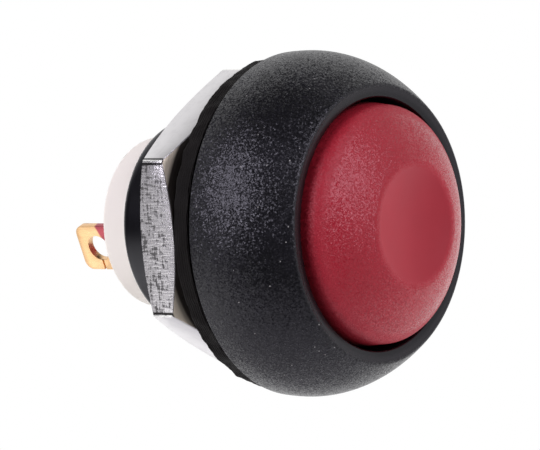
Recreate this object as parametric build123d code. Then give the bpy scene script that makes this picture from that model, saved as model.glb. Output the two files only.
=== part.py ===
from build123d import *
import math
import os

# Panel-mounting momentary pushbutton switch, in millimetres.
# The row's frame: +Y runs from the button to the terminals, +Z is up, and the origin is on the push
# axis at the panel's front face, where the rubber seal sits on it.
# Every piece is built standing up: its z is the height in front of the panel, so the button is at
# the top, and lay_down() turns the finished piece into the row's frame.

# Bezel and mounting barrel, one moulding
bezel_radius = 9.0
bezel_back_set_in = 0.75
bezel_back_bevel = 0.35
bezel_edge_step = 0.04
bezel_belly_height = 2.3
bezel_height = 6.8
rim_width = 0.68
rim_fall = 0.15
opening_gap = 0.22
opening_round = 0.22
cup_floor_height = 2.3
thread_radius = 6.0
thread_end = -4.15
shank_set_in = 0.35
shank_end = -5.45
tail_set_in = 0.2
barrel_end = -6.15
tail_round = 0.35
step_bevel = 0.12
web_bottom = -0.6
chamber_gap = 0.2

# Panel seal and nut
seal_thickness = 1.05
seal_set_in = 0.3
seal_bore_gap = 0.15
panel_space = 1.3
nut_thickness = 2.2
nut_across_flats = 14.0
nut_chamfer_radius = 6.95
nut_corner_drop = 0.48
nut_bore_gap = 0.05
nut_countersink = 0.3
nut_turn = 37.0

# Button cap
cap_radius = 6.3
cap_wall = 1.0
cap_ceiling = 1.3
cap_bottom = 4.4
cap_dome_radius = 8.6
cap_edge_round = 0.45
dish_radius = 3.13
dish_rim_height = 9.06
dish_depth = 0.55
dish_rim_round = 0.8
cap_boss_radius = 2.9
cap_rib_count = 6
cap_rib_thickness = 0.7
cap_seat_height = 5.6

# Plunger
stem_radius = 2.0
stem_gap = 0.05
spigot_radius = 1.5
spigot_length = 1.75
spigot_gap = 0.02
spigot_lead = 0.2
collar_radius = 3.9
collar_thickness = 0.8
stop_gap = 0.02
pin_radius = 0.75
pin_tail = 0.4
pin_round = 0.15

# Plunger seal
o_ring_cord = 1.0
o_ring_nip = 0.02
gland_play = 0.1
retainer_ledge = 0.56
retainer_thickness = 0.4
retainer_gap = 0.02
retainer_bore_gap = 0.15

# Contacts
contact_gap = 1.0
contact_clearance = 0.02
contact_set_in = 0.8
contact_head_radius = 0.55
contact_head_height = 0.3
contact_head_round = 0.2
contact_shank_radius = 0.3
contact_shank_gap = 0.01
bridge_top = -3.9
bridge_thickness = 0.3
bridge_end_margin = 0.2
bridge_width = 2.8
bridge_hole_gap = 0.05
clip_radius = 1.4
clip_thickness = 0.28
clip_groove_radius = 0.5
clip_gap = 0.02
clip_mouth = 0.8

# Springs
return_wire = 0.36
return_spring_set_in = 0.12
return_turns = 5.5
contact_wire = 0.2
contact_spring_gap = 0.15
contact_turns = 5.5
spring_seat_gap = 0.02

# Base, its gasket and its sealing resin
base_rim_gap = 0.05
base_gap = 0.05
base_rim_wall = 0.55
base_rear = -8.35
base_rear_round = 0.3
base_well_gap = 0.1
base_well_depth = 0.75
base_web = 0.5
resin_wall = 0.6
resin_hollow = 0.2
gasket_thickness = 0.4
gasket_top = -3.6
gasket_gap = 0.05

# Terminals
terminal_turn = 26.7
terminal_thickness = 0.4
blade_width = 2.55
blade_end = -11.25
blade_corner = 0.5
blade_shoulder = -7.8
leg_width = 2.0
pad_width = 2.2
pad_length = 1.3
pad_spring_gap = 0.0835
pad_thickness = 0.37
slot_gap = 0.03
eye_radius = 0.7
eye_from_end = 1.3
crease_width = 0.12
crease_depth = 0.1
resin_climb = 0.9
resin_spread = 0.45

# Radii that follow from the sizes above
bezel_back_radius = bezel_radius - bezel_back_set_in
seal_radius = bezel_radius - seal_set_in
opening_radius = cap_radius + opening_gap
rim_radius = opening_radius + rim_width
shank_radius = thread_radius - shank_set_in
tail_radius = shank_radius - tail_set_in
chamber_radius = collar_radius + chamber_gap
gland_radius = stem_radius + o_ring_cord + 2 * o_ring_nip
retainer_radius = gland_radius + retainer_ledge
return_radius = collar_radius - return_spring_set_in - return_wire / 2
contact_spring_radius = pin_radius + contact_spring_gap + contact_wire / 2
base_radius = collar_radius + base_rim_gap + base_rim_wall
base_bore_radius = base_radius + base_gap

# Distances from the push axis across the terminals; the pad's corners lie inside the return spring
pad_corner_radius = return_radius - return_wire / 2 - pad_spring_gap
pad_outer = math.sqrt(pad_corner_radius**2 - (pad_width / 2) ** 2)
pad_inner = pad_outer - pad_length
terminal_offset = pad_outer - terminal_thickness / 2
contact_offset = pad_outer - contact_set_in
bridge_length = 2 * (contact_offset + contact_head_radius + bridge_end_margin)
base_well_radius = pad_inner - base_well_gap

# Heights that follow from the sizes above
nut_front = -panel_space
nut_rear = nut_front - nut_thickness
cap_dome_centre = dish_rim_height - math.sqrt(cap_dome_radius**2 - dish_radius**2)
retainer_top = web_bottom + retainer_thickness
gland_top = retainer_top + o_ring_cord + gland_play
collar_top = web_bottom - stop_gap
collar_bottom = collar_top - collar_thickness
bridge_bottom = bridge_top - bridge_thickness
clip_top = bridge_bottom - clip_gap
clip_bottom = clip_top - clip_thickness
pin_bottom = clip_bottom - clip_gap - pin_tail
moving_face = bridge_bottom - contact_head_height
fixed_face = moving_face - contact_gap - contact_clearance
pad_top = fixed_face - contact_head_height
base_floor = pad_top - pad_thickness
gasket_bottom = gasket_top - gasket_thickness
resin_top = base_floor - base_well_depth - base_web
resin_rear = base_rear + resin_hollow

BOTTOM = (Align.CENTER, Align.CENTER, Align.MIN)


def disc(radius, low, high):
    """A cylinder on the push axis between two heights."""
    return Pos(0, 0, low) * Cylinder(radius, high - low, align=BOTTOM)


def ring(outer, inner, low, high):
    """A plain ring on the push axis."""
    return disc(outer, low, high) - disc(inner, low, high)


def block(x_low, x_high, width, low, high):
    """A box across the X axis, as wide as it is told to be along Y."""
    middle = (x_low + x_high) / 2
    return Pos(middle, 0, low) * Box(x_high - x_low, width, high - low, align=BOTTOM)


def turned(*edges):
    """The solid of revolution of a closed outline drawn as radius and height."""
    return revolve(Plane.XZ * make_face(Curve() + list(edges)), Axis.Z)


def round_edges(solid, height, radius, size):
    """Rounds the circular edges of this radius at this height."""
    picked = [
        e for e in solid.edges().filter_by(GeomType.CIRCLE)
        if abs(e.arc_center.Z - height) < 1e-3 and abs(e.radius - radius) < 1e-3]
    return fillet(picked, size)


def make_bezel_bushing():
    """Domed bezel, cup for the button, threaded barrel and the bores for everything inside."""
    back = seal_thickness
    edge = (bezel_radius - bezel_edge_step, back + bezel_back_bevel)
    belly = (bezel_radius, bezel_belly_height)
    crest = (rim_radius, bezel_height)
    mouth = (opening_radius, bezel_height - rim_fall)
    rising = (bezel_radius, (edge[1] + belly[1]) / 2)
    leaning = (bezel_radius, (belly[1] + crest[1]) / 2)
    bushing = turned(
        Polyline(
            (0, barrel_end), (tail_radius, barrel_end), (tail_radius, shank_end - step_bevel),
            (shank_radius, shank_end), (shank_radius, thread_end - step_bevel),
            (thread_radius, thread_end), (thread_radius, back), (bezel_back_radius, back), edge),
        Bezier(edge, rising, belly),
        Bezier(belly, leaning, crest),
        Polyline(crest, mouth, (0, mouth[1]), (0, barrel_end)))
    bushing = round_edges(bushing, barrel_end, tail_radius, tail_round)
    bushing -= disc(opening_radius, cup_floor_height, bezel_height + 1)
    bushing = round_edges(bushing, mouth[1], opening_radius, opening_round)
    bushing -= disc(stem_radius + stem_gap, web_bottom - 1, cup_floor_height + 1)
    bushing -= disc(gland_radius, web_bottom - 1, gland_top)
    bushing -= disc(retainer_radius + retainer_gap, web_bottom - 1, retainer_top)
    bushing -= disc(chamber_radius, gasket_top - 1, web_bottom)
    bushing -= disc(base_bore_radius, barrel_end - 1, gasket_top)
    return bushing


def make_panel_seal():
    """Flat rubber ring between the bezel and the panel."""
    return ring(seal_radius, thread_radius + seal_bore_gap, 0, seal_thickness)


def make_hex_nut():
    """Hexagon nut, chamfered at its corners on both faces."""
    corner_radius = nut_across_flats / math.sqrt(3)
    slope = nut_corner_drop / (corner_radius - nut_chamfer_radius)
    wide = corner_radius + 1
    fall = slope * (wide - nut_chamfer_radius)
    blank = turned(Polyline(
        (0, nut_rear), (nut_chamfer_radius, nut_rear), (wide, nut_rear + fall),
        (wide, nut_front - fall), (nut_chamfer_radius, nut_front), (0, nut_front), close=True))
    hexagon = Pos(0, 0, nut_rear) * extrude(RegularPolygon(corner_radius, 6), nut_thickness)
    bore_radius = thread_radius + nut_bore_gap
    nut = (Rot(0, 0, nut_turn) * hexagon) & blank
    nut -= disc(bore_radius, nut_rear - 1, nut_front + 1)
    mouths = nut.edges().filter_by(GeomType.CIRCLE).sort_by(Axis.Z)
    mouths = [e for e in mouths if abs(e.radius - bore_radius) < 1e-3]
    return chamfer(mouths, nut_countersink)


def dome_height(radius):
    """Height of the cap's dome at a distance from the push axis."""
    return cap_dome_centre + math.sqrt(cap_dome_radius**2 - radius**2)


def make_button_cap():
    """Domed cap with a finger dish, a hollow skirt, a ribbed boss and a socket for the plunger."""
    shoulder = (cap_radius, dome_height(cap_radius))
    rim = (dish_radius, dish_rim_height)
    halfway = (cap_radius + dish_radius) / 2
    dish_floor = (0, dish_rim_height - dish_depth)
    dish_ball = (dish_radius**2 + dish_depth**2) / (2 * dish_depth)
    near = dish_radius / 2
    sag = dish_ball - math.sqrt(dish_ball**2 - near**2)
    cap = turned(
        Polyline(dish_floor, (0, cap_bottom), (cap_radius, cap_bottom), shoulder),
        ThreePointArc(shoulder, (halfway, dome_height(halfway)), rim),
        ThreePointArc(rim, (near, dish_floor[1] + sag), dish_floor))
    cap = round_edges(cap, shoulder[1], cap_radius, cap_edge_round)
    cap = round_edges(cap, dish_rim_height, dish_radius, dish_rim_round)
    ceiling_ball = Pos(0, 0, cap_dome_centre) * Sphere(cap_dome_radius - cap_ceiling)
    hollow = disc(cap_radius - cap_wall, cap_bottom - 1, dish_rim_height) & ceiling_ball
    boss = disc(cap_boss_radius, cap_seat_height, dish_rim_height)
    ribs = [
        Rot(0, 0, i * 360 / cap_rib_count)
        * block(0, cap_radius, cap_rib_thickness, cap_seat_height, dish_rim_height)
        for i in range(cap_rib_count)]
    cap -= hollow - boss - ribs
    socket_top = cap_seat_height + spigot_length + spigot_gap
    cap -= disc(spigot_radius + spigot_gap, cap_seat_height - 1, socket_top)
    return cap


def make_plunger():
    """Stem, stop collar, the spigot that holds the cap and the pin that carries the contacts."""
    spigot_top = cap_seat_height + spigot_length
    plunger = disc(stem_radius, collar_bottom, cap_seat_height)
    plunger += disc(collar_radius, collar_bottom, collar_top)
    plunger += disc(spigot_radius, cap_seat_height, spigot_top)
    plunger += disc(pin_radius, pin_bottom, collar_bottom)
    groove_low = clip_bottom - clip_gap
    plunger -= ring(pin_radius + 1, clip_groove_radius, groove_low, bridge_bottom)
    plunger = round_edges(plunger, spigot_top, spigot_radius, spigot_lead)
    return round_edges(plunger, pin_bottom, pin_radius, pin_round)


def make_plunger_o_ring():
    """The ring that seals the stem in its gland."""
    middle = retainer_top + gland_play / 2 + o_ring_cord / 2
    centre_radius = stem_radius + o_ring_nip + o_ring_cord / 2
    return Pos(0, 0, middle) * Torus(centre_radius, o_ring_cord / 2)


def make_o_ring_retainer():
    """Washer pressed into the barrel under the seal; the plunger's collar stops on it."""
    return ring(retainer_radius, stem_radius + retainer_bore_gap, web_bottom, retainer_top)


def coil(radius, wire, turns, low, high):
    """A compression spring that fills the height between its two seats."""
    height = high - low - wire
    path = Helix(height / turns, height, radius)
    start = Plane(origin=path @ 0, z_dir=path % 0)
    return Pos(0, 0, low + wire / 2) * sweep(start * Circle(wire / 2), path=path, is_frenet=True)


def make_return_spring():
    """Spring between the base and the plunger's collar."""
    low = base_floor + spring_seat_gap
    high = collar_bottom - spring_seat_gap
    return coil(return_radius, return_wire, return_turns, low, high)


def make_contact_spring():
    """Spring that presses the bridge on its clip and lets the plunger travel on past contact."""
    low = bridge_top + spring_seat_gap
    high = collar_bottom - spring_seat_gap
    return coil(contact_spring_radius, contact_wire, contact_turns, low, high)


def make_contact_bridge():
    """The strip that joins the two fixed contacts when the button is down."""
    outline = extrude(SlotOverall(bridge_length, bridge_width), bridge_thickness)
    strip = Pos(0, 0, bridge_bottom) * outline
    strip -= disc(pin_radius + bridge_hole_gap, bridge_bottom - 1, bridge_top + 1)
    hole = disc(contact_shank_radius + contact_shank_gap, bridge_bottom - 1, bridge_top + 1)
    for side in (-1, 1):
        strip -= Pos(side * contact_offset, 0, 0) * hole
    return strip


def make_contact(face, seat, shank_end):
    """A contact rivet: a rounded head on its seat and a shank to the strip's far side."""
    head = round_edges(
        disc(contact_head_radius, *sorted((face, seat))), face, contact_head_radius,
        contact_head_round)
    shank = disc(contact_shank_radius, *sorted((seat, shank_end)))
    return Pos(contact_offset, 0, 0) * (head + shank)


def make_stem_clip():
    """Open ring in the pin's groove that carries the bridge."""
    clip = ring(clip_radius, clip_groove_radius + clip_gap, clip_bottom, clip_top)
    return clip - block(0, clip_radius + 1, clip_mouth, clip_bottom - 1, clip_top + 1)


def terminal_leg(margin, low, high):
    """The terminal's narrow leg between two heights, with a margin all round."""
    half = terminal_thickness / 2 + margin
    return block(
        terminal_offset - half, terminal_offset + half, leg_width + 2 * margin, low, high)


def make_base_insert():
    """Cream cup that holds the terminals: its rim is inside the barrel, its floor shows behind."""
    base = disc(base_radius, base_rear, gasket_bottom)
    base = round_edges(base, base_rear, base_radius, base_rear_round)
    base -= disc(base_radius - base_rim_wall, base_floor, gasket_bottom + 1)
    base -= disc(base_well_radius, base_floor - base_well_depth, base_floor + 1)
    base -= disc(base_radius - resin_wall, base_rear - 1, resin_top)
    slot = terminal_leg(slot_gap, resin_top - 1, base_floor + 1)
    for turn in (terminal_turn, terminal_turn + 180):
        base -= Rot(0, 0, turn) * slot
    return base


def make_base_gasket():
    """Flat ring between the base's rim and the step in the barrel."""
    return ring(
        base_radius - gasket_gap, base_radius - base_rim_wall + gasket_gap,
        gasket_bottom, gasket_top)


def blade_outline(margin, low, high):
    """The terminal's wide blade between two heights, with a margin all round."""
    half = terminal_thickness / 2 + margin
    return block(
        terminal_offset - half, terminal_offset + half, blade_width + 2 * margin, low, high)


def make_epoxy_seal():
    """Resin in the back of the base, drawn up a little around each terminal."""
    resin = disc(base_radius - resin_wall, resin_rear, resin_top)
    root = Pos(terminal_offset, 0, resin_rear) * Rectangle(
        terminal_thickness + 2 * resin_spread, blade_width + 2 * resin_spread)
    tip = Pos(terminal_offset, 0, resin_rear - resin_climb) * Rectangle(
        terminal_thickness + 2 * slot_gap, blade_width / 2)
    climb = loft([root, tip]) & disc(base_radius - resin_wall, resin_rear - resin_climb, resin_top)
    blade = blade_outline(0, blade_end, blade_shoulder) + terminal_leg(0, blade_shoulder, base_floor)
    for turn in (terminal_turn, terminal_turn + 180):
        resin += Rot(0, 0, turn) * climb
        resin -= Rot(0, 0, turn) * blade
    return resin


def make_terminal():
    """Pad under the fixed contact, leg through the base and solder blade with its eye."""
    blade = blade_outline(0, blade_end, blade_shoulder)
    ends = blade.edges().filter_by(Axis.X).group_by(Axis.Z)[0]
    terminal = fillet(ends, blade_corner)
    terminal += terminal_leg(0, blade_shoulder, pad_top)
    terminal += block(pad_inner, pad_outer, pad_width, base_floor, pad_top)
    eye_height = blade_end + eye_from_end
    eye = Pos(terminal_offset, 0, eye_height) * Rot(0, 90, 0) * Cylinder(eye_radius, 4 * terminal_thickness)
    terminal -= eye
    crease = Pos(pad_outer, blade_width / 2, eye_height) * Box(
        2 * crease_depth, blade_width - 2 * eye_radius, crease_width)
    terminal -= crease
    hole = disc(contact_shank_radius + contact_shank_gap, base_floor - 1, pad_top + 1)
    return terminal - Pos(contact_offset, 0, 0) * hole


def lay_down(piece):
    """Turns a piece that stands on the push axis so that its top points along -Y."""
    return Rot(90, 0, 0) * piece


def main():
    right = Rot(0, 0, terminal_turn)
    left = Rot(0, 0, terminal_turn + 180)
    moving = make_contact(moving_face, bridge_bottom, bridge_top)
    fixed = make_contact(fixed_face, pad_top, base_floor)
    terminal = make_terminal()
    pieces = {
        "bezel_bushing": make_bezel_bushing(),
        "panel_seal": make_panel_seal(),
        "hex_nut": make_hex_nut(),
        "button_cap": make_button_cap(),
        "plunger": make_plunger(),
        "plunger_o_ring": make_plunger_o_ring(),
        "o_ring_retainer": make_o_ring_retainer(),
        "return_spring": make_return_spring(),
        "contact_spring": make_contact_spring(),
        "contact_bridge": right * make_contact_bridge(),
        "moving_contact_right": right * moving,
        "moving_contact_left": left * moving,
        "stem_clip": make_stem_clip(),
        "base_insert": make_base_insert(),
        "base_gasket": make_base_gasket(),
        "epoxy_seal": make_epoxy_seal(),
        "terminal_right": right * terminal,
        "terminal_left": left * terminal,
        "fixed_contact_right": right * fixed,
        "fixed_contact_left": left * fixed,
    }
    os.makedirs("parts", exist_ok=True)
    for name, piece in pieces.items():
        export_step(lay_down(piece), os.path.join("parts", name + ".step"))


main()
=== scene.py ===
import bmesh
import bpy
import math
from contextlib import contextmanager
from mathutils import Matrix, Vector


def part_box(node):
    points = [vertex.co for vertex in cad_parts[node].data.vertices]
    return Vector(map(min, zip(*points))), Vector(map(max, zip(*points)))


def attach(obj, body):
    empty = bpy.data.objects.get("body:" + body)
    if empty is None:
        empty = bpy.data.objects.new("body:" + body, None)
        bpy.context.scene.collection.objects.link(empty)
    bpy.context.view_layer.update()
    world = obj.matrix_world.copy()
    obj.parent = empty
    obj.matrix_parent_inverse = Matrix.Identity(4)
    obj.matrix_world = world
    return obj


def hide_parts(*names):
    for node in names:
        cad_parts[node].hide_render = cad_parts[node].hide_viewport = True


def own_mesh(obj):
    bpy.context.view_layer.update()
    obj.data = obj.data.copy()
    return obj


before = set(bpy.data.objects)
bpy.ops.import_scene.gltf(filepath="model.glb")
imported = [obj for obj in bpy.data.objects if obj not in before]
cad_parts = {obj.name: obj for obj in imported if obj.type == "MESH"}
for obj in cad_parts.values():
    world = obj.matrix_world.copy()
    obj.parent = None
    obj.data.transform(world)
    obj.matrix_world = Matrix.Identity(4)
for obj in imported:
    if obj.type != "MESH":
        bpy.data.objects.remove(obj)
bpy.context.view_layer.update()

# The looks of a sealed momentary pushbutton switch. Lengths are in millimetres, and mm turns them
# into metres. A height is measured along the push axis in front of the panel, so the button is at
# the top, at the most negative Y, and the terminals are at the bottom.
mm = 0.001


def reach(node):
    """A turned piece's radius and its front and rear heights."""
    low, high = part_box(node)
    return high.x / mm, -low.y / mm, -high.y / mm


bezel_radius, bezel_height, barrel_end = reach("bezel_bushing")
seal_radius, seal_front, seal_rear = reach("panel_seal")
cap_radius, _, cap_bottom = reach("button_cap")
base_radius, base_front, base_rear = reach("base_insert")
resin_top = reach("epoxy_seal")[1]
nut_front, nut_rear = reach("hex_nut")[1:]
pad_top = reach("terminal_left")[1]

# The solid's box is that of its facets, which lie just inside the true circle. The bezel does too.
facet_allowance = 0.006
bezel_radius -= facet_allowance

# Bezel and barrel
bezel_back_radius = bezel_radius - 0.75
bezel_edge_radius = bezel_radius - 0.04
bezel_back_bevel = 0.35
bezel_belly_height = 2.3
rim_radius = 7.2
rim_fall = 0.08
rim_round = 0.22
opening_radius = 6.52
opening_round = 0.12
cup_floor_height = 2.3
thread_radius = 6.0
thread_root_radius = 5.39
thread_pitch = 1.0
thread_crest = 0.14
thread_end = -4.15
shank_radius = 5.65
shank_end = -5.45
shank_edge_break = 0.05
tail_radius = 5.45
tail_round = 0.35
step_bevel = 0.12
stem_bore = 2.05
gland_bore = 3.04
gland_top = 0.9
retainer_bore = 3.62
retainer_top = -0.2
web_bottom = -0.6
chamber_bore = 4.1
gasket_top = -3.6
base_bore = 4.55

# Seal
seal_bore = 6.15
seal_edge_round = 0.12
seal_roughness = 0.24
seal_ragged_share = 0.2
seal_wave = 0.8

# Nut
nut_across_flats = 14.0
nut_chamfer_radius = 6.95
nut_corner_drop = 0.48
nut_bore = 6.05
nut_countersink = 0.3
nut_edge_round = 0.05
nut_turn = math.radians(37.0)

# Button cap
cap_wall = 1.0
cap_ceiling = 1.3
cap_dome_radius = 9.2
cap_dome_centre = 0.403
cap_edge_round = 0.75
cap_edge_radius = 6.16
cap_taper_height = 5.8
cap_foot_break = 0.08
dish_radius = 3.13
dish_floor_height = 8.51
dish_rim_height = 9.054
dish_rim_round = 0.8
cap_boss_radius = 2.9
cap_rib_count = 6
cap_rib_thickness = 0.7
cap_seat_height = 5.6
cap_socket_radius = 1.52
cap_socket_depth = 1.77

# Base and resin
base_rim_wall = 0.55
base_floor = -6.19
base_well_radius = 1.75
base_well_floor = -6.94
base_rear_round = 0.3
base_front_break = 0.08
well_edge_break = 0.05
resin_wall = 0.6
resin_hollow = 0.2
resin_climb = 0.9
resin_spread = 0.45
resin_creep = 0.14
resin_creep_width = 0.35
slot_gap = 0.03

# Terminals
terminal_turn = math.radians(26.7)
terminal_offset = 2.95
terminal_thickness = 0.4
terminal_edge_round = 0.06
blade_width = 2.55
blade_end = -11.25
blade_corner = 0.5
blade_shoulder = -7.8
leg_width = 2.0
pad_width = 2.2
pad_inner = 1.85
eye_radius = 0.7
eye_from_end = 1.3
crease_width = 0.12
crease_depth = 0.1
contact_offset = 2.35
contact_hole_radius = 0.31

# Springs
return_wire = 0.36
return_turns = 5.5
contact_wire = 0.2
contact_turns = 5.5

round_steps = 256

# Where the finishes change: each pair holds where a fade starts and where it is complete.
grain_heights = (1.2, 1.5)
grain_radii = (rim_radius - 0.2, rim_radius - 0.05)
crest_start = (6.7, 6.95)
crest_end = (rim_radius - 0.1, rim_radius)
crest_heights = (6.3, 6.6)
satin_radii = (dish_radius - 0.4, dish_radius + 0.2)
# Heights over which the painted shade in the cap's gap fades out.
gap_shade_heights = (cap_taper_height, 6.6)
cap_edge_radii = (5.5, 5.85)
nut_flat = (nut_across_flats / 2 - 0.06, nut_across_flats / 2 - 0.03)
nut_lip_heights = (nut_front - 0.6, nut_front - 0.4)
nut_line_start = (7.95, 7.99)
nut_line_end = (8.02, 8.05)
nut_tip_glint = (8.03, 8.06)
nut_lit_chamfer = (7.5, 7.9)
nut_lined_side = (5.0, 6.0)
nut_turned = (nut_chamfer_radius, nut_chamfer_radius + 0.1)
film_heights = (-9.95, -9.8)
film_side = (0.0, 0.05)


# Shader writing

class Signal:
    """An output of a shader node. Arithmetic on it adds the Math nodes that work it out."""

    def __init__(self, graph, socket):
        self.graph = graph
        self.socket = socket

    def maths(self, operation, *values):
        return self.graph.node("ShaderNodeMath", {"operation": operation}, *values)

    def __add__(self, other):
        return self.maths("ADD", self, other)

    __radd__ = __add__

    def __sub__(self, other):
        return self.maths("SUBTRACT", self, other)

    def __rsub__(self, other):
        return self.maths("SUBTRACT", other, self)

    def __mul__(self, other):
        return self.maths("MULTIPLY", self, other)

    __rmul__ = __mul__

    def __truediv__(self, other):
        return self.maths("DIVIDE", self, other)

    def __pow__(self, other):
        return self.maths("POWER", self, other)


class Graph:
    """A node tree being written, with one method for every node that isn't plain arithmetic."""

    def __init__(self, tree):
        self.tree = tree

    def feed(self, socket, value):
        if isinstance(value, Signal):
            self.tree.links.new(value.socket, socket)
        else:
            socket.default_value = value

    def node(self, kind, settings=None, *values, output=None, **named):
        """Adds a node, sets it, fills its live inputs in order or by name, and gives one output."""
        node = self.tree.nodes.new(kind)
        for name, value in (settings or {}).items():
            setattr(node, name, value)
        live = [socket for socket in node.inputs if socket.enabled]
        for socket, value in zip(live, values):
            self.feed(socket, value)
        for name, value in named.items():
            self.feed(next(s for s in live if s.name == name), value)
        outputs = [s for s in node.outputs if s.enabled and output in (None, s.name)]
        return Signal(self, outputs[0])

    def split(self, vector):
        return [self.node("ShaderNodeSeparateXYZ", None, vector, output=axis) for axis in "XYZ"]

    def step(self, value, low, high):
        """Goes smoothly from 0 to 1 as the value goes from low to high."""
        return self.node(
            "ShaderNodeMapRange", {"interpolation_type": "SMOOTHSTEP"}, value, low, high, 0.0, 1.0)

    def mix(self, factor, first, second):
        return self.node("ShaderNodeMix", {"data_type": "RGBA"}, factor, first, second)


class Finish(Graph):
    """A material of one Principled surface that follows Object coordinates."""

    def __init__(self, name, **constants):
        self.material = bpy.data.materials.new(name)
        self.material.use_nodes = True
        super().__init__(self.material.node_tree)
        self.surface = self.tree.nodes["Principled BSDF"]
        self.paint(**constants)
        self.place = self.node("ShaderNodeTexCoord", output="Object")

    def paint(self, **sockets):
        for name, value in sockets.items():
            self.feed(self.surface.inputs[name.replace("_", " ")], value)
        return self.material

    def noise(self, size, detail=2.0, stretch=(1, 1, 1), at=None):
        """Noise of 0 to 1 whose blotches are about this size in millimetres."""
        place = self.node("ShaderNodeMapping", None, at or self.place, Scale=stretch)
        return self.node(
            "ShaderNodeTexNoise", None, place, Scale=1 / (size * mm), Detail=detail, output="Fac")

    def grains(self, size):
        """Distance to the nearest of scattered grains about this far apart in millimetres."""
        return self.node("ShaderNodeTexVoronoi", None, self.place, Scale=1 / (size * mm))

    def radius(self):
        """Distance from the push axis in millimetres."""
        x, _, z = self.split(self.place)
        return (x * x + z * z) ** 0.5 / mm

    def height(self):
        """Height in front of the panel in millimetres."""
        return self.split(self.place)[1] / -mm

    def wrapped(self, radius):
        """The surface unrolled: distance around at this radius, then along the push axis."""
        x, y, z = self.split(self.place)
        around = z.maths("ARCTAN2", z, x) * (radius * mm)
        return self.node("ShaderNodeCombineXYZ", None, around, y, 0.0)

    def vector(self, operation, *values):
        return self.node("ShaderNodeVectorMath", {"operation": operation}, *values)

    def relief(self, height, depth, facet=None, lean=0.0):
        """Feeds the normal from a height of 0 to 1 that stands for this depth in millimetres.

        Facets of the given size, each leaning its own way, can lie over it and make it sparkle."""
        normal = self.node("ShaderNodeBump", None, Height=height, Strength=1.0, Distance=depth * mm)
        if facet:
            way = self.node(
                "ShaderNodeTexVoronoi", None, self.place, Scale=1 / (facet * mm), output="Color")
            way = self.vector("SCALE", self.vector("SUBTRACT", way, (0.5, 0.5, 0.5)), lean)
            normal = self.vector("NORMALIZE", self.vector("ADD", normal, way))
        self.paint(Normal=normal)


# Finishes

def spark_eroded_nylon():
    """Black nylon, grained and dust-flecked on the dome with painted glints on the grain peaks, and
    smoother on the rim band and the barrel. A painted sheen lightens the rim band by the crest.
    """
    finish = Finish(
        "spark_eroded_nylon", Specular_IOR_Level=0.40, Specular_Tint=(0.93, 0.91, 1.0, 1))
    radius = finish.radius()
    height = finish.height()
    dome = finish.step(height, *grain_heights) * finish.step(radius, *grain_radii)
    grain = 1 - finish.grains(0.16)
    fine = finish.noise(0.1, detail=2)
    patches = finish.step(finish.noise(2.5, detail=3), 0.35, 0.7)
    rings = finish.node("ShaderNodeMath", {"operation": "SINE"}, radius * 60)
    smooth = fine * 0.1 + rings * 0.02
    finish.relief(
        dome * (grain * 0.6 + fine * 0.5) + smooth * (1 - dome), 0.02, facet=0.06, lean=dome * 0.43)
    peaks = finish.step(grain, 0.6, 0.8) * dome
    # Painted sheen: the rim band next to the crest is coloured lighter than the rest of the bezel.
    crest = (1 - finish.step(radius, *crest_end)) * finish.step(radius, *crest_start)
    crest = crest * finish.step(height, *crest_heights)
    dust = (1 - finish.step(finish.grains(0.7), 0.04, 0.06)) * dome
    colour = finish.mix(patches, (0.003, 0.0029, 0.0038, 1), (0.0055, 0.0052, 0.007, 1))
    # Painted glints: the grain peaks are coloured lighter and stand in for the grain's sparkle.
    colour = finish.mix(peaks * 0.4, colour, (0.03, 0.029, 0.036, 1))
    colour = finish.mix(crest, colour, (0.013, 0.012, 0.014, 1))
    colour = finish.mix(dust * 0.7, colour, (0.45, 0.43, 0.42, 1))
    return finish.paint(Base_Color=colour, Roughness=0.33 - peaks * 0.1 - 0.09 * (1 - dome))


def satin_red_plastic():
    """Red plastic with a fine satin grain and painted glints on its peaks, even and duller in the
    finger dish, with painted shade darkening it in the gap.
    """
    finish = Finish(
        "satin_red_plastic", Specular_IOR_Level=0.6, Specular_Tint=(1.0, 0.66, 0.70, 1))
    radius = finish.radius()
    dome = finish.step(radius, *satin_radii)
    grain = 1 - finish.grains(0.1)
    fine = finish.noise(0.08, detail=1)
    patches = finish.noise(1.6, detail=2)
    finish.relief(fine * (0.1 + dome * 0.9), 0.012, facet=0.05, lean=dome * 0.44)
    colour = finish.mix(patches, (0.31, 0.008, 0.020, 1), (0.36, 0.011, 0.026, 1))
    peaks = finish.step(grain, 0.6, 0.85) * dome
    # Painted glints: the grain peaks are coloured a lighter pink and stand in for the grain's
    # sparkle.
    colour = finish.mix(peaks * 0.25, colour, (0.60, 0.045, 0.070, 1))
    # Painted shade: below its edge, down in the gap inside the bezel, the cap is coloured near
    # black.
    sunk = 1 - finish.step(finish.height(), *gap_shade_heights)
    colour = finish.mix(sunk * 0.92, colour, (0.012, 0.006, 0.006, 1))
    edge = finish.step(radius, *cap_edge_radii)
    return finish.paint(
        Base_Color=colour, Roughness=0.27 - peaks * 0.06 + edge * 0.24 + (1 - dome) * 0.16)


def moulded_rubber():
    """Black rubber with fine ridges around its edge."""
    finish = Finish("moulded_rubber", Specular_IOR_Level=0.12)
    ridges = finish.node("ShaderNodeMath", {"operation": "SINE"}, finish.height() * 45)
    rough = finish.noise(0.12, detail=4)
    finish.relief(ridges * 0.3 + rough, 0.03)
    colour = finish.mix(finish.noise(1.1), (0.004, 0.0032, 0.0030, 1), (0.010, 0.0080, 0.0075, 1))
    return finish.paint(Base_Color=colour, Roughness=0.55 + rough * 0.25)


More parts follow.
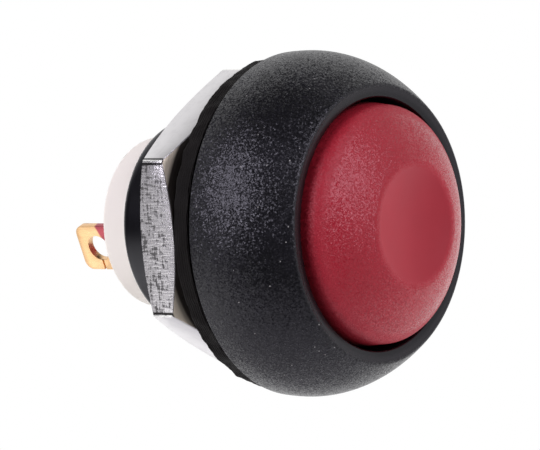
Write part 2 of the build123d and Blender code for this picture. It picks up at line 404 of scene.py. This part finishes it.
def milled_nickel():
    """Nickel plate over brass, turned at its chamfers, which are painted light golden near the
    corners and dark with painted shade nearer the bore.

    One flat keeps the crossed marks of milling, painted dark lines of reflection run along its
    corners, and each corner tip has a painted highlight."""
    finish = Finish("milled_nickel")
    x, _, z = finish.split(finish.place)

    def towards(side):
        """Distance from the push axis towards a side of the nut, given in degrees."""
        angle = nut_turn + math.radians(side)
        return (x * math.cos(angle) + z * math.sin(angle)) / mm

    outward = 0.0
    for side in (30, 90, 150):
        along = towards(side)
        outward = along.maths("MAXIMUM", along.maths("ABSOLUTE", along), outward)
    flat = finish.step(outward, *nut_flat)
    coarse = finish.step(towards(150), *nut_flat)
    below = finish.step(towards(210), *nut_flat)
    skin = finish.wrapped(nut_across_flats / 2)
    lengthwise = finish.noise(0.13, detail=4, stretch=(1.3, 0.22, 1), at=skin)
    crosswise = finish.noise(0.13, detail=4, stretch=(0.22, 1, 1), at=skin)
    marks = lengthwise * 0.45 + crosswise * 0.55
    turned = finish.noise(0.12, stretch=(0.02, 1, 1), at=finish.wrapped(1.0))
    finish.relief(flat * marks * (0.006 + coarse * 0.88) + (1 - flat) * turned, 0.035)
    blotches = finish.noise(0.5, detail=2)
    lip = finish.step(finish.height(), *nut_lip_heights)
    worn = finish.step(marks + (blotches - 0.5) * 0.4 + lip * 0.12, 0.42, 0.50)
    radius = finish.radius()
    # Painted highlight: each corner tip is coloured near white.
    tip = finish.step(radius, *nut_tip_glint)
    # Painted light and shade on the chamfers: light golden near the corners, near black nearer the
    # bore.
    lit_chamfer = finish.step(radius + turned * 0.4, *nut_lit_chamfer)
    # Painted reflection: dark lines along the corners on one side of the nut.
    line = finish.step(radius, *nut_line_start) * (1 - finish.step(radius, *nut_line_end))
    line = line * finish.step(towards(150), *nut_lined_side) * (1 - below)
    chamfer = (1 - flat) * (1 - tip) * finish.step(radius, *nut_turned)
    bright = finish.mix(coarse, (0.80, 0.78, 0.795, 1), (0.96, 0.93, 0.945, 1))
    # The chamfer colour is painted light and shade, not the colour of bared brass.
    brass = finish.mix(lit_chamfer, (0.05, 0.042, 0.036, 1), (0.95, 0.84, 0.68, 1))
    colour = finish.mix((1 - worn) * (0.03 + coarse * 0.97), bright, (0.17, 0.165, 0.165, 1))
    colour = finish.mix(1 - flat, colour, brass)
    colour = finish.mix(line, colour, (0.03, 0.028, 0.028, 1))
    colour = finish.mix(tip, colour, (1.0, 0.99, 0.97, 1))
    dulled = flat * (0.08 - worn * 0.05 + coarse * (0.09 - worn * 0.15))
    return finish.paint(
        Base_Color=colour, Metallic=1 - chamfer * 0.75 - coarse * 0.2,
        Roughness=0.28 + dulled + chamfer * 0.15)


def cream_plastic():
    """Smooth cream plastic with the faintest mottling."""
    finish = Finish("cream_plastic", Specular_IOR_Level=0.4)
    mottle = finish.noise(1.2, detail=3)
    fine = finish.noise(0.08)
    finish.relief(fine, 0.006)
    colour = finish.mix(mottle, (0.97, 0.905, 0.82, 1), (1.0, 0.94, 0.855, 1))
    return finish.paint(Base_Color=colour, Roughness=0.4 + fine * 0.1)


def red_resin():
    """Glossy red resin, cured with slow ripples."""
    finish = Finish("red_resin", Coat_Roughness=0.08)
    ripples = finish.noise(0.9, detail=2)
    finish.relief(ripples, 0.05)
    colour = finish.mix(ripples, (0.24, 0.008, 0.03, 1), (0.42, 0.03, 0.08, 1))
    return finish.paint(Base_Color=colour, Roughness=0.16 + ripples * 0.12, Coat_Weight=0.6)


def gold_plate():
    """Thin gold over rolled brass, under a film of red resin on one side."""
    finish = Finish("gold_plate", Metallic=1.0)
    rolled = finish.noise(0.25, detail=3, stretch=(4, 0.4, 4))
    worn = finish.noise(0.7, detail=2)
    finish.relief(rolled, 0.008)
    colour = finish.mix(worn, (0.86, 0.53, 0.26, 1), (0.96, 0.62, 0.34, 1))
    z = finish.split(finish.place)[2] / mm
    film = finish.step(finish.height() + z * 0.42 + worn * 0.1, *film_heights)
    film = film * (1 - finish.step(z, *film_side))
    colour = finish.mix(film * 0.9, colour, (0.40, 0.035, 0.09, 1))
    return finish.paint(Base_Color=colour, Roughness=0.2 + rolled * 0.15)


def drawn_wire(name, dark, light):
    """Steel with the fine lines of drawing or rolling."""
    finish = Finish(name, Metallic=1.0)
    lines = finish.noise(0.12, detail=3, stretch=(1, 6, 1))
    finish.relief(lines, 0.004)
    return finish.paint(Base_Color=finish.mix(lines, dark, light), Roughness=0.24 + lines * 0.18)


def silver_contact():
    """Silver plate with a warm tarnish in patches."""
    finish = Finish("silver_contact", Metallic=1.0)
    tarnish = finish.noise(0.4, detail=3)
    finish.relief(finish.noise(0.06), 0.003)
    colour = finish.mix(tarnish, (0.86, 0.85, 0.82, 1), (0.74, 0.70, 0.62, 1))
    return finish.paint(Base_Color=colour, Roughness=0.2 + tarnish * 0.2)


def natural_acetal():
    """Off-white acetal with a waxy moulded skin."""
    finish = Finish("natural_acetal", Specular_IOR_Level=0.45)
    skin = finish.noise(0.5, detail=3)
    finish.relief(finish.noise(0.07), 0.005)
    colour = finish.mix(skin, (0.80, 0.80, 0.76, 1), (0.88, 0.88, 0.85, 1))
    return finish.paint(Base_Color=colour, Roughness=0.34 + skin * 0.12)


# Outlines, as lists of radius and height

def arc(centre, start, end, steps):
    """Points on the shorter arc from start to end about the centre."""
    first = math.atan2(start[1] - centre[1], start[0] - centre[0])
    swing = math.atan2(end[1] - centre[1], end[0] - centre[0]) - first
    swing = (swing + math.pi) % (2 * math.pi) - math.pi
    size = math.dist(centre, start)
    angles = [first + swing * i / steps for i in range(steps + 1)]
    return [(centre[0] + size * math.cos(a), centre[1] + size * math.sin(a)) for a in angles]


def bend(start, control, end, steps):
    """Points on the quadratic curve that leaves start and reaches end towards the control."""
    points = []
    for i in range(steps + 1):
        t = i / steps
        points.append(tuple(
            (1 - t) ** 2 * a + 2 * t * (1 - t) * b + t * t * c
            for a, b, c in zip(start, control, end)))
    return points


def rounded(before, corner, after, size, steps=5):
    """The arc of this radius that rounds the corner between two straight stretches."""
    corner = Vector(corner)
    back = (Vector(before) - corner).normalized()
    ahead = (Vector(after) - corner).normalized()
    half = back.angle(ahead) / 2
    centre = corner + (back + ahead).normalized() * size / math.sin(half)
    run = size / math.tan(half)
    return arc(centre, corner + back * run, corner + ahead * run, steps)


# Modelling

def select_only(*pieces):
    """Leaves just these pieces selected, the first of them active."""
    bpy.ops.object.select_all(action="DESELECT")
    for piece in pieces:
        piece.select_set(True)
    bpy.context.view_layer.objects.active = pieces[0]


@contextmanager
def editing(piece, kind="VERT"):
    """Edit mode on one piece, with all of it selected."""
    select_only(piece)
    bpy.ops.object.mode_set(mode="EDIT")
    bpy.ops.mesh.select_mode(type=kind)
    bpy.ops.mesh.select_all(action="SELECT")
    yield
    bpy.ops.object.mode_set(mode="OBJECT")


def choose(piece, test, kind="verts"):
    """Selects, in edit mode, only the mesh elements that pass the test."""
    bpy.ops.mesh.select_all(action="DESELECT")
    mesh = bmesh.from_edit_mesh(piece.data)
    for element in getattr(mesh, kind):
        element.select_set(test(element))
    mesh.select_flush_mode()
    bmesh.update_edit_mesh(piece.data)


def trace(name, points, closed):
    """A chain of edges through these points, in metres, drawn from one vertex by extruding it."""
    bpy.ops.object.select_all(action="DESELECT")
    bpy.ops.mesh.primitive_plane_add(location=(0, 0, 0))
    piece = bpy.context.object
    piece.name = name
    stops = [Vector(p) for p in points]
    if closed:
        stops.append(stops[0])
    with editing(piece):
        bpy.ops.mesh.merge(type="CENTER")
        bpy.ops.transform.translate(value=stops[0])
        for here, there in zip(stops, stops[1:]):
            bpy.ops.mesh.extrude_region_move(TRANSFORM_OT_translate={"value": there - here})
        bpy.ops.mesh.select_all(action="SELECT")
        bpy.ops.mesh.remove_doubles(threshold=1e-7)
    return piece


def tidy(piece):
    """Merges doubles and turns every face outwards."""
    with editing(piece):
        bpy.ops.mesh.remove_doubles(threshold=1e-7)
        bpy.ops.mesh.normals_make_consistent(inside=False)


def turn(name, outline, closed=True, steps=round_steps):
    """The solid that an outline of radius and height sweeps about the push axis."""
    piece = trace(name, [(r * mm, -h * mm, 0) for r, h in outline], closed)
    with editing(piece):
        bpy.ops.mesh.spin(steps=steps, angle=2 * math.pi, center=(0, 0, 0), axis=(0, 1, 0))
    tidy(piece)
    return piece


def extrude(name, points, travel):
    """The prism that a flat outline sweeps along a straight travel, all in millimetres."""
    piece = trace(name, [Vector(p) * mm for p in points], closed=True)
    with editing(piece):
        bpy.ops.mesh.edge_face_add()
        bpy.ops.mesh.extrude_region_move(TRANSFORM_OT_translate={"value": Vector(travel) * mm})
    tidy(piece)
    return piece


def block(name, low, high):
    """A box between two corners in millimetres."""
    low, high = Vector(low), Vector(high)
    bpy.ops.object.select_all(action="DESELECT")
    bpy.ops.mesh.primitive_cube_add(size=1, location=(low + high) / 2 * mm, scale=(high - low) * mm)
    piece = bpy.context.object
    piece.name = name
    settle(piece)
    return piece


def rod(name, centre, direction, radius, length, sides=64):
    """A cylinder about a centre in millimetres."""
    spin = Vector((0, 0, 1)).rotation_difference(Vector(direction)).to_euler()
    bpy.ops.object.select_all(action="DESELECT")
    bpy.ops.mesh.primitive_cylinder_add(
        vertices=sides, radius=radius * mm, depth=length * mm, location=Vector(centre) * mm,
        rotation=spin)
    piece = bpy.context.object
    piece.name = name
    settle(piece)
    return piece


def settle(piece):
    """Puts a piece's place and turn into its mesh."""
    select_only(piece)
    bpy.ops.object.transform_apply(location=True, rotation=True, scale=True)


def modify(piece, kind, **settings):
    """Adds a modifier, sets it and applies it."""
    select_only(piece)
    modifier = piece.modifiers.new(kind.lower(), kind)
    for name, value in settings.items():
        setattr(modifier, name, value)
    bpy.ops.object.modifier_apply(modifier=modifier.name)
    return piece


def combine(piece, tool, operation):
    """Joins, cuts or trims a piece with a tool, which is used up."""
    modify(piece, "BOOLEAN", operation=operation, solver="EXACT", object=tool)
    bpy.data.objects.remove(tool)
    return piece


def wind(name, section, turns, rise, steps):
    """The helix that a closed section of radius and height winds about the push axis."""
    piece = trace(name, [(r * mm, -h * mm, 0) for r, h in section], closed=True)
    modify(
        piece, "SCREW", axis="Y", angle=2 * math.pi * turns, screw_offset=-rise * mm,
        iterations=1, steps=round(steps * turns), render_steps=round(steps * turns),
        use_normal_calculate=True)
    with editing(piece):
        choose(piece, lambda edge: edge.is_boundary, "edges")
        bpy.ops.mesh.edge_face_add()
    tidy(piece)
    return piece


def coil(name, radius, wire, turns, low, high, sides=12, steps=72):
    """A wound wire whose ends reach the two heights."""
    section = [
        (radius + wire / 2 * math.cos(a), low + wire / 2 + wire / 2 * math.sin(a))
        for a in (2 * math.pi * i / sides for i in range(sides))]
    return wind(name, section, turns, high - low - wire, steps)


def smooth(piece, angle=35):
    """Shades softly across edges gentler than this many degrees."""
    select_only(piece)
    bpy.ops.object.shade_smooth_by_angle(angle=math.radians(angle))


def hand_over(piece, finish, body, node):
    """Gives a finished piece its material and its body, and hides the CAD node that it stands for.
    """
    piece.data.materials.clear()
    piece.data.materials.append(finish)
    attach(piece, body)
    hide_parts(node)


# Pieces

def make_thread():
    """The barrel's helical ridge, sunk a little into the core and chamfered at its rear end."""
    sunk = thread_root_radius - 0.08
    half_foot = thread_pitch / 2 - 0.04
    steps = 96
    start = thread_end - thread_pitch
    stop = seal_front + thread_pitch
    turns = (stop - start) / thread_pitch
    section = [
        (sunk, start - half_foot), (thread_radius, start - thread_crest / 2),
        (thread_radius, start + thread_crest / 2), (sunk, start + half_foot)]
    ridge = wind("thread", section, turns, stop - start, steps)
    low, high = thread_end - 0.05, seal_front + 0.2
    inside, outside = thread_root_radius - 0.5, thread_radius + 0.3
    lead = outside - thread_root_radius
    limit = turn("thread_limit", [
        (inside, low), (thread_root_radius, low), (outside, low + lead), (outside, high),
        (inside, high)], steps=steps)
    return combine(ridge, limit, "INTERSECT")


def make_bezel_bushing():
    """Domed bezel, cup, threaded barrel and the bores for everything inside."""
    edge = (bezel_edge_radius, seal_front + bezel_back_bevel)
    belly = (bezel_radius, bezel_belly_height)
    crest = (rim_radius, bezel_height)
    mouth = (opening_radius, bezel_height - rim_fall)
    rising = (bezel_radius, (edge[1] + belly[1]) / 2)
    leaning = (bezel_radius, (belly[1] + crest[1]) / 2)
    back = (bezel_back_radius, seal_front)
    dome = bend(belly, leaning, crest, 40)
    shank_front = thread_end - step_bevel
    tail = (tail_radius, barrel_end)
    outline = [
        (thread_root_radius, seal_front), back,
        *bend(edge, rising, belly, 6)[:-1],
        *dome[:-2],
        *rounded(dome[-3], crest, mouth, rim_round),
        *rounded(crest, mouth, (opening_radius, cup_floor_height), opening_round),
        (opening_radius, cup_floor_height), (stem_bore, cup_floor_height),
        (stem_bore, gland_top), (gland_bore, gland_top), (gland_bore, retainer_top),
        (retainer_bore, retainer_top), (retainer_bore, web_bottom), (chamber_bore, web_bottom),
        (chamber_bore, gasket_top), (base_bore, gasket_top), (base_bore, barrel_end),
        *rounded((base_bore, barrel_end), tail, (tail_radius, shank_end), tail_round),
        (tail_radius, shank_end - step_bevel), (shank_radius, shank_end),
        (shank_radius, shank_front - shank_edge_break),
        (shank_radius - shank_edge_break, shank_front),
        (thread_root_radius, shank_front)]
    bushing = turn("bezel_bushing_moulding", outline)
    combine(bushing, make_thread(), "UNION")
    smooth(bushing, 30)
    return bushing


def make_panel_seal():
    """Rubber ring whose moulding flash leaves its rim ragged."""
    inner_rear, inner_front = (seal_bore, seal_rear), (seal_bore, seal_front)
    outer_rear, outer_front = (seal_radius, seal_rear), (seal_radius, seal_front)
    outline = [
        inner_rear, inner_front,
        *rounded(inner_front, outer_front, outer_rear, seal_edge_round / 3, 2),
        *[(seal_radius, seal_front * share) for share in (0.75, 0.5, 0.25)],
        *rounded(outer_front, outer_rear, inner_rear, seal_edge_round, 3)]
    seal = turn("panel_seal_ring", outline, steps=420)
    rim = seal.vertex_groups.new(name="rim")
    for vertex in seal.data.vertices:
        distance = math.hypot(vertex.co.x, vertex.co.z) / mm
        across = (distance - seal_bore) / (seal_radius - seal_bore)
        share = max(0.0, across - 1 + seal_ragged_share) / seal_ragged_share
        rim.add([vertex.index], min(1.0, share), "REPLACE")
    ragged = bpy.data.textures.new("ragged", "CLOUDS")
    ragged.noise_scale = seal_wave * mm
    ragged.noise_depth = 3
    modify(
        seal, "DISPLACE", texture=ragged, texture_coords="LOCAL", vertex_group="rim",
        strength=seal_roughness * mm, mid_level=0.9)
    smooth(seal)
    return seal


def make_hex_nut():
    """Hexagon nut, chamfered at its corners and countersunk at both mouths."""
    corner_radius = nut_across_flats / math.sqrt(3)
    slope = nut_corner_drop / (corner_radius - nut_chamfer_radius)
    wide = corner_radius + 1
    fall = slope * (wide - nut_chamfer_radius)
    mouth = nut_bore + nut_countersink
    nut = turn("hex_nut_milled", [
        (mouth, nut_rear), (nut_chamfer_radius, nut_rear), (wide, nut_rear + fall),
        (wide, nut_front - fall), (nut_chamfer_radius, nut_front), (mouth, nut_front),
        (nut_bore, nut_front - nut_countersink), (nut_bore, nut_rear + nut_countersink)])
    corners = [nut_turn + math.radians(60 * i) for i in range(6)]
    spare = 0.2
    hexagon = extrude(
        "hexagon",
        [(corner_radius * math.cos(a), -nut_front - spare, corner_radius * math.sin(a))
         for a in corners],
        (0, nut_front - nut_rear + 2 * spare, 0))
    combine(nut, hexagon, "INTERSECT")
    modify(
        nut, "BEVEL", width=nut_edge_round * mm, segments=2, limit_method="ANGLE",
        angle_limit=math.radians(25))
    smooth(nut, 25)
    return nut


def cap_outline():
    """Half section of the cap, from the middle of the dish round to the top of its socket."""
    centre = (0, cap_dome_centre)
    sag = dish_rim_height - dish_floor_height
    dish_ball = (dish_radius**2 + sag**2) / (2 * sag)
    dish_centre = (0, dish_floor_height + dish_ball)
    # The rim's round touches the dome from inside and the dish's sphere from outside.
    inner = cap_dome_radius - dish_rim_round
    outer = dish_ball + dish_rim_round
    gap = dish_centre[1] - centre[1]
    rise = (inner**2 - outer**2 + gap**2) / (2 * gap)
    rim = (math.sqrt(inner**2 - rise**2), centre[1] + rise)

    def away(origin, size, other, distance):
        """The point at a distance from the origin on the way to another, that lies size away."""
        return tuple(o + (p - o) * distance / size for o, p in zip(origin, other))

    on_dish = away(dish_centre, outer, rim, dish_ball)
    on_dome = away(centre, inner, rim, cap_dome_radius)
    edge_reach = cap_dome_radius - cap_edge_round
    edge_middle = cap_edge_radius - cap_edge_round
    edge = (edge_middle, centre[1] + math.sqrt(edge_reach**2 - edge_middle**2))
    off_dome = away(centre, edge_reach, edge, cap_dome_radius)
    ceiling = cap_dome_radius - cap_ceiling
    bore = cap_radius - cap_wall

    def ceiling_point(radius):
        return (radius, centre[1] + math.sqrt(ceiling**2 - radius**2))

    return [
        *arc(dish_centre, (0, dish_floor_height), on_dish, 24),
        *arc(rim, on_dish, on_dome, 10)[1:],
        *arc(centre, on_dome, off_dome, 28)[1:],
        *arc(edge, off_dome, (cap_edge_radius, edge[1]), 8)[1:],
        (cap_radius, cap_taper_height), (cap_radius, cap_bottom + cap_foot_break),
        (cap_radius - cap_foot_break, cap_bottom), (bore, cap_bottom),
        *arc(centre, ceiling_point(bore), ceiling_point(cap_boss_radius), 10),
        (cap_boss_radius, cap_seat_height), (cap_socket_radius, cap_seat_height),
        (cap_socket_radius, cap_seat_height + cap_socket_depth),
        (0, cap_seat_height + cap_socket_depth)]


def make_button_cap():
    """Domed cap with its finger dish, hollow skirt, ribs and socketed boss."""
    cap = turn("button_cap_moulding", cap_outline(), closed=False)
    overlap = 0.1
    low = (cap_boss_radius - overlap, -cap_seat_height - 2, -cap_rib_thickness / 2)
    high = (cap_radius - cap_wall + overlap, -cap_seat_height, cap_rib_thickness / 2)
    ceiling = [
        (r, cap_dome_centre + math.sqrt((cap_dome_radius - cap_ceiling + overlap) ** 2 - r * r))
        for r in (low[0], (low[0] + high[0]) / 2, high[0])]
    profile = [(low[0], cap_seat_height), *ceiling, (high[0], cap_seat_height)]
    for i in range(cap_rib_count):
        rib = extrude(
            "rib", [(r, -h, -cap_rib_thickness / 2) for r, h in profile], (0, 0, cap_rib_thickness))
        rib.rotation_euler = (0, 2 * math.pi * i / cap_rib_count, 0)
        settle(rib)
        combine(cap, rib, "UNION")
    smooth(cap)
    return cap


def make_base_insert():
    """Cream cup that holds the terminals, with a slot in its web for each leg."""
    rim_bore = base_radius - base_rim_wall
    well = base_radius - resin_wall
    rear = (base_radius, base_rear)
    base = turn("base_insert_moulding", [
        (0, base_well_floor), (base_well_radius, base_well_floor), (base_well_radius, base_floor),
        (rim_bore, base_floor), (rim_bore, base_front),
        (base_radius - base_front_break, base_front), (base_radius, base_front - base_front_break),
        *rounded((base_radius, base_front), rear, (well, base_rear), base_rear_round, 8),
        (well + well_edge_break, base_rear), (well, base_rear + well_edge_break),
        (well, resin_top), (0, resin_top)], closed=False)
    half = terminal_thickness / 2 + slot_gap
    for angle in (terminal_turn, terminal_turn + math.pi):
        slot = block(
            "slot", (terminal_offset - half, -base_floor - 1, -leg_width / 2 - slot_gap),
            (terminal_offset + half, -resin_top + 1, leg_width / 2 + slot_gap))
        slot.rotation_euler = (0, -angle, 0)
        settle(slot)
        combine(base, slot, "DIFFERENCE")
    smooth(base)
    return base


def blade_and_leg(name):
    """The bare stock of a terminal: its wide blade behind the base and its leg through it."""
    half = terminal_thickness / 2
    near, far = terminal_offset - half, terminal_offset + half
    blade = block(
        name, (near, -blade_shoulder, -blade_width / 2), (far, -blade_end, blade_width / 2))
    overlap = 0.1
    leg = block(
        "leg", (near, -pad_top, -leg_width / 2), (far, -blade_shoulder + overlap, leg_width / 2))
    return blade, leg


def make_climb(well, surface):
    """The resin that crept up a blade on both sides, steep against it and shallow at its foot."""
    foot = 0.3
    thin, wide = terminal_thickness / 2 + slot_gap, blade_width / 4
    stages = [(resin_spread, blade_width / 4 + resin_spread, 0.0), (0.24, 0.5, 0.25),
              (0.1, 0.35, 0.6), (0.0, 0.0, 1.0)]
    climb = block(
        "climb", (terminal_offset - thin - stages[0][0], -surface - foot, -wide - stages[0][1]),
        (terminal_offset + thin + stages[0][0], -surface, wide + stages[0][1]))
    with editing(climb, "FACE"):
        choose(climb, lambda face: face.normal.y > 0.9, "faces")
        for before, after in zip(stages, stages[1:]):
            rise = (after[2] - before[2]) * resin_climb * mm
            bpy.ops.mesh.extrude_region_move(TRANSFORM_OT_translate={"value": (0, rise, 0)})
            taper = ((thin + after[0]) / (thin + before[0]), 1,
                     (wide + after[1]) / (wide + before[1]))
            bpy.ops.transform.resize(value=taper, center_override=(terminal_offset * mm, 0, 0))
    with editing(climb, "EDGE"):
        choose(
            climb, lambda edge: abs(edge.verts[0].co.y - edge.verts[1].co.y) > 1e-5, "edges")
        bpy.ops.mesh.bevel(offset=0.3 * mm, segments=5)
    tidy(climb)
    limit = turn("climb_limit", [
        (0, surface + foot), (well, surface + foot), (well, surface - resin_climb - foot),
        (0, surface - resin_climb - foot)], closed=False, steps=128)
    return combine(climb, limit, "INTERSECT")


def make_epoxy_seal():
    """Resin in the back of the base, with a meniscus up its wall and up each blade."""
    well = base_radius - resin_wall
    surface = base_rear + resin_hollow
    rings = [well * i / 12 for i in range(13)]
    outline = [(0, resin_top), (well, resin_top)] + [
        (r, surface - resin_creep * math.exp((r - well) / resin_creep_width))
        for r in reversed(rings)]
    resin = turn("epoxy_seal_cast", outline, closed=False)
    for angle in (terminal_turn, terminal_turn + math.pi):
        climb = make_climb(well, surface)
        for stock in blade_and_leg("stock"):
            combine(climb, stock, "DIFFERENCE")
        climb.rotation_euler = (0, -angle, 0)
        settle(climb)
        combine(resin, climb, "UNION")
    smooth(resin)
    return resin


def make_terminal(name, angle):
    """Solder blade with its eye, the leg through the base and the pad under the fixed contact."""
    far = terminal_offset + terminal_thickness / 2
    terminal, leg = blade_and_leg(name)
    with editing(terminal, "EDGE"):
        choose(
            terminal,
            lambda edge: all(abs(v.co.y + blade_end * mm) < 1e-6 for v in edge.verts)
            and abs(edge.verts[0].co.x - edge.verts[1].co.x) > 1e-6, "edges")
        bpy.ops.mesh.bevel(offset=blade_corner * mm, segments=8)
    combine(terminal, leg, "UNION")
    pad = block("pad", (pad_inner, -pad_top, -pad_width / 2), (far, -base_floor, pad_width / 2))
    combine(terminal, pad, "UNION")
    eye_height = blade_end + eye_from_end
    eye = rod("eye", (terminal_offset, -eye_height, 0), (1, 0, 0), eye_radius, 2)
    combine(terminal, eye, "DIFFERENCE")
    hole = rod("hole", (contact_offset, -pad_top, 0), (0, 1, 0), contact_hole_radius, 2, sides=32)
    combine(terminal, hole, "DIFFERENCE")
    crease = block(
        "crease", (far - crease_depth, -eye_height - crease_width / 2, eye_radius),
        (far + crease_depth, -eye_height + crease_width / 2, blade_width))
    combine(terminal, crease, "DIFFERENCE")
    modify(
        terminal, "BEVEL", width=terminal_edge_round * mm, segments=2, limit_method="ANGLE",
        angle_limit=math.radians(40))
    terminal.rotation_euler = (0, -angle, 0)
    settle(terminal)
    smooth(terminal)
    return terminal


def make_spring(name, node, wire, turns):
    """The coil that fills a spring's CAD box."""
    outside, high, low = reach(node)
    spring = coil(name, outside - wire / 2, wire, turns, low, high)
    smooth(spring, 60)
    return spring


def squeeze(spring):
    """Gives a spring a mesh of its own."""
    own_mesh(spring)


def build():
    wire = drawn_wire("drawn_steel", (0.42, 0.42, 0.43, 1), (0.66, 0.66, 0.67, 1))
    nylon = spark_eroded_nylon()
    rubber = moulded_rubber()
    gold = gold_plate()
    silver = silver_contact()
    hand_over(make_bezel_bushing(), nylon, "housing", "bezel_bushing")
    hand_over(make_panel_seal(), rubber, "housing", "panel_seal")
    hand_over(make_hex_nut(), milled_nickel(), "nut", "hex_nut")
    hand_over(make_button_cap(), satin_red_plastic(), "button", "button_cap")
    hand_over(make_base_insert(), cream_plastic(), "housing", "base_insert")
    hand_over(make_epoxy_seal(), red_resin(), "housing", "epoxy_seal")
    for side, angle in (("right", terminal_turn), ("left", terminal_turn + math.pi)):
        terminal = make_terminal("solder_lug_" + side, angle)
        hand_over(terminal, gold, "housing", "terminal_" + side)
    return_spring = make_spring("return_coil", "return_spring", return_wire, return_turns)
    hand_over(return_spring, wire, "housing", "return_spring")
    squeeze(return_spring)
    contact_spring = make_spring("contact_coil", "contact_spring", contact_wire, contact_turns)
    hand_over(contact_spring, wire, "button", "contact_spring")
    squeeze(contact_spring)
    plain = {
        "plunger": natural_acetal(), "plunger_o_ring": rubber, "base_gasket": rubber,
        "o_ring_retainer": wire, "stem_clip": wire, "contact_bridge": silver,
        "moving_contact_left": silver, "moving_contact_right": silver,
        "fixed_contact_left": silver, "fixed_contact_right": silver}
    for node, finish in plain.items():
        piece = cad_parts[node]
        piece.data.materials.clear()
        piece.data.materials.append(finish)


# Studio

camera_azimuth = math.radians(-51.02)
camera_elevation = math.radians(0.29)
camera_roll = math.radians(0.43)
camera_distance = 0.2527
camera_lens = 322.2
aim_forward = 0.6 * mm
aim_right = 0.0178 * mm
aim_up = -0.1109 * mm

floor_radius = 300.0
floor_drop = 34.0
floor_fade = (12.0, 50.0)

back = Vector((
    math.sin(camera_azimuth) * math.cos(camera_elevation),
    -math.cos(camera_azimuth) * math.cos(camera_elevation), math.sin(camera_elevation)))
right = Vector((math.cos(camera_azimuth), math.sin(camera_azimuth), 0))
up = back.cross(right)


def add_camera():
    camera = bpy.data.objects.new("camera", bpy.data.cameras.new("camera"))
    bpy.context.scene.collection.objects.link(camera)
    camera.data.lens = camera_lens
    leaning_right = right * math.cos(camera_roll) + up * math.sin(camera_roll)
    leaning_up = back.cross(leaning_right)
    aim = Vector((0, aim_forward, 0)) + right * aim_right + up * aim_up
    turned = Matrix((leaning_right, leaning_up, back)).transposed()
    camera.matrix_world = Matrix.Translation(aim + back * camera_distance) @ turned.to_4x4()
    bpy.context.scene.camera = camera


def add_softbox(name, azimuth, elevation, distance, width, height, glow, glossy=True):
    """A soft lamp facing the switch. Its angles, in degrees, are taken from behind the camera."""
    lamp = bpy.data.lights.new(name, "AREA")
    lamp.shape = "RECTANGLE"
    lamp.size, lamp.size_y, lamp.energy = width, height, math.pi * width * height * glow
    lamp.color = (1.0, 0.97, 1.08)
    softbox = bpy.data.objects.new(name, lamp)
    softbox.visible_glossy = glossy
    bpy.context.scene.collection.objects.link(softbox)
    around, above = math.radians(azimuth), math.radians(elevation)
    level = right * math.sin(around) + back * math.cos(around)
    direction = level * math.cos(above) + up * math.sin(above)
    softbox.location = direction * distance
    softbox.rotation_euler = direction.to_track_quat("Z", "Y").to_euler()


def add_world():
    """A studio lit white behind and below, dark in front and plain white to the camera."""
    world = bpy.data.worlds.new("studio")
    bpy.context.scene.world = world
    world.use_nodes = True
    graph = Graph(world.node_tree)
    direction = graph.node("ShaderNodeTexCoord", output="Generated")

    def towards(aim):
        aim = tuple(aim.normalized())
        return graph.node("ShaderNodeVectorMath", {"operation": "DOT_PRODUCT"}, direction, aim)

    backdrop = graph.step(towards(up * 0.25 - right * 0.25 - back), 0.3, 0.85) * 0.92
    side = graph.step(towards(right), 0.2, 0.6) * 0.6
    table = graph.step(towards(-up - back * 0.6), 0.35, 0.75) * 0.32
    corner = graph.step(towards(back * 0.1 - right - up), 0.78, 0.97) * 1.3
    light = backdrop.maths("MAXIMUM", backdrop, side) + table + corner + 0.02
    seen = graph.node("ShaderNodeLightPath", output="Is Camera Ray")
    shown = graph.node("ShaderNodeMix", {"data_type": "FLOAT"}, seen, light, 1.0)
    surface = world.node_tree.nodes["Background"]
    surface.inputs["Color"].default_value = (1, 1, 1, 1)
    graph.feed(surface.inputs["Strength"], shown)


def add_floor():
    """A pale floor that takes the shadow and fades into the backdrop around the switch."""
    bpy.ops.object.select_all(action="DESELECT")
    bpy.ops.mesh.primitive_circle_add(
        vertices=64, radius=floor_radius * mm, fill_type="NGON", location=(0, 0, -floor_drop * mm))
    floor = bpy.context.object
    floor.name = "floor"
    settle(floor)
    finish = Finish("pale_floor", Base_Color=(0.88, 0.88, 0.88, 1), Roughness=0.7)
    x, y, _ = finish.split(finish.place)
    away = finish.step((x * x + y * y) ** 0.5, *[distance * mm for distance in floor_fade])
    seen = finish.node("ShaderNodeLightPath", output="Is Camera Ray")
    white = finish.node("ShaderNodeEmission", None, (1, 1, 1, 1), 1.0)
    clear = finish.node("ShaderNodeBsdfTransparent")
    beyond = finish.node("ShaderNodeMixShader", None, seen, clear, white)
    near = Signal(finish, finish.surface.outputs["BSDF"])
    shown = finish.node("ShaderNodeMixShader", None, away, near, beyond)
    finish.feed(finish.tree.nodes["Material Output"].inputs["Surface"], shown)
    floor.data.materials.append(finish.material)


build()
add_camera()
add_softbox("left_softbox", -51, 21, 0.35, 0.2, 0.2, 6.9)
add_softbox("right_softbox", 41, 28, 0.35, 0.17, 0.28, 3.9)
add_softbox("right_fill", 118, -12, 0.3, 0.2, 0.25, 3.3, glossy=False)
add_world()
add_floor()
bpy.context.scene.view_settings.view_transform = "Standard"
